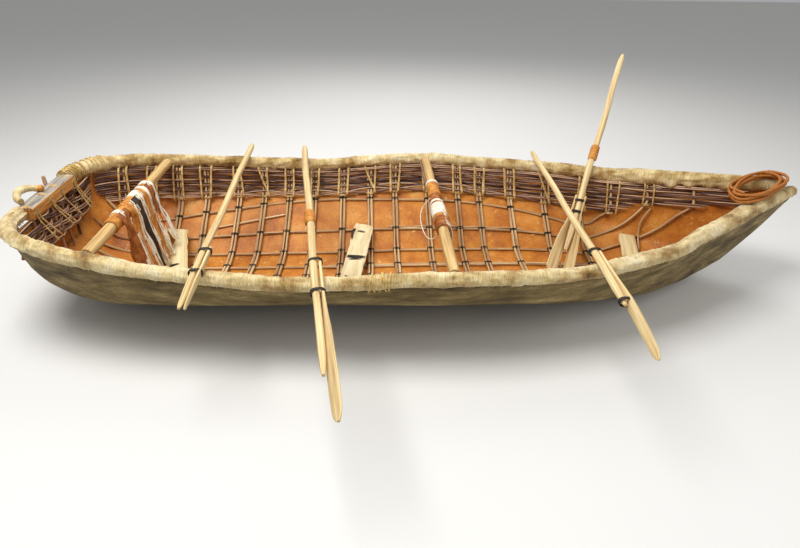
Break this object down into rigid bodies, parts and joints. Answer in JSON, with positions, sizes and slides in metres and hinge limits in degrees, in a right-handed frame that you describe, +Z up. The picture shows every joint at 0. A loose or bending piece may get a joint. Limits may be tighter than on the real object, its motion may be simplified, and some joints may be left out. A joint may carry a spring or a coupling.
{
  "type": "open skin boat with willow frame",
  "caption": "Long open hide-covered boat on a willow frame, with a woven band under rolled rims, cross poles, loose boards and paddles laid across it.",
  "frame": {"origin": "middle of the flat of the hull bottom, on the floor amidships", "axes": "+X to the bow, +Y to port, +Z up"},
  "size_m": [3.2615, 2.2438, 0.8405],
  "materials": {
    "hull_hide": "raw cowhide, matt",
    "rim_hide": "rolled hide with short hair",
    "beam_timber": "weathered squared timber",
    "willow_weave": "dark willow bark",
    "willow_rods": "willow rods",
    "leather_wrap": "tanned leather wound round",
    "hide_strips": "hide strips",
    "thwart_pole": "peeled pole",
    "board_wood": "split board",
    "paddle_wood": "pale peeled wood",
    "rawhide": "rawhide thong",
    "rope": "laid fibre rope"
  },
  "bodies": {
    "hull": {"board_aft": "board_wood", "board_bow": "board_wood", "board_mid": "board_wood", "bow_rope": "rope", "gunwale_port": "rim_hide", "gunwale_starboard": "rim_hide", "hide_shell": "hull_hide", "ribs_aft": "willow_rods", "ribs_forward": "willow_rods", "ribs_midships": "willow_rods", "rods_bow": "willow_rods", "rods_stern": "willow_rods", "stern_peg": "thwart_pole", "stern_roll": "rim_hide", "stern_strap": "rim_hide", "stringer_bilge": "willow_rods", "stringer_floor": "willow_rods", "stringer_keel": "willow_rods", "stringer_slope": "willow_rods", "stringer_turn": "willow_rods", "thwart_aft": "thwart_pole", "thwart_aft_strips": "hide_strips", "thwart_aft_wrap": "leather_wrap", "thwart_mid": "thwart_pole", "thwart_mid_stick": "thwart_pole", "thwart_mid_strips": "hide_strips", "thwart_mid_wrap": "leather_wrap", "transom_beam": "beam_timber", "wicker_port": "willow_weave", "wicker_starboard": "willow_weave", "wicker_stern": "willow_weave"},
    "paddle_1": {"paddle_1_blade": "paddle_wood", "paddle_1_lashings": "rawhide", "paddle_1_shaft": "paddle_wood"},
    "paddle_2": {"paddle_2_blade": "paddle_wood", "paddle_2_lashings": "rawhide", "paddle_2_shaft": "paddle_wood", "paddle_2_sleeve": "leather_wrap"},
    "paddle_3": {"paddle_3_blade": "paddle_wood", "paddle_3_lashings": "rawhide", "paddle_3_shaft": "paddle_wood", "paddle_3_sleeve": "leather_wrap"},
    "paddle_4": {"paddle_4_blade": "paddle_wood", "paddle_4_lashings": "rawhide", "paddle_4_shaft": "paddle_wood"}
  },
  "joints": [
    {"name": "paddle_1_lift", "type": "slide", "parent": "hull", "child": "paddle_1", "axis": [0, 0, 1], "range_m": [0, 0.4]},
    {"name": "paddle_2_lift", "type": "slide", "parent": "hull", "child": "paddle_2", "axis": [0, 0, 1], "range_m": [0, 0.4]},
    {"name": "paddle_4_lift", "type": "slide", "parent": "hull", "child": "paddle_4", "axis": [0, 0, 1], "range_m": [0, 0.4]},
    {"name": "paddle_3_draw", "type": "slide", "parent": "hull", "child": "paddle_3", "axis": [0.3538, 0.6953, 0.6256], "range_m": [0, 0.6]}
  ]
}
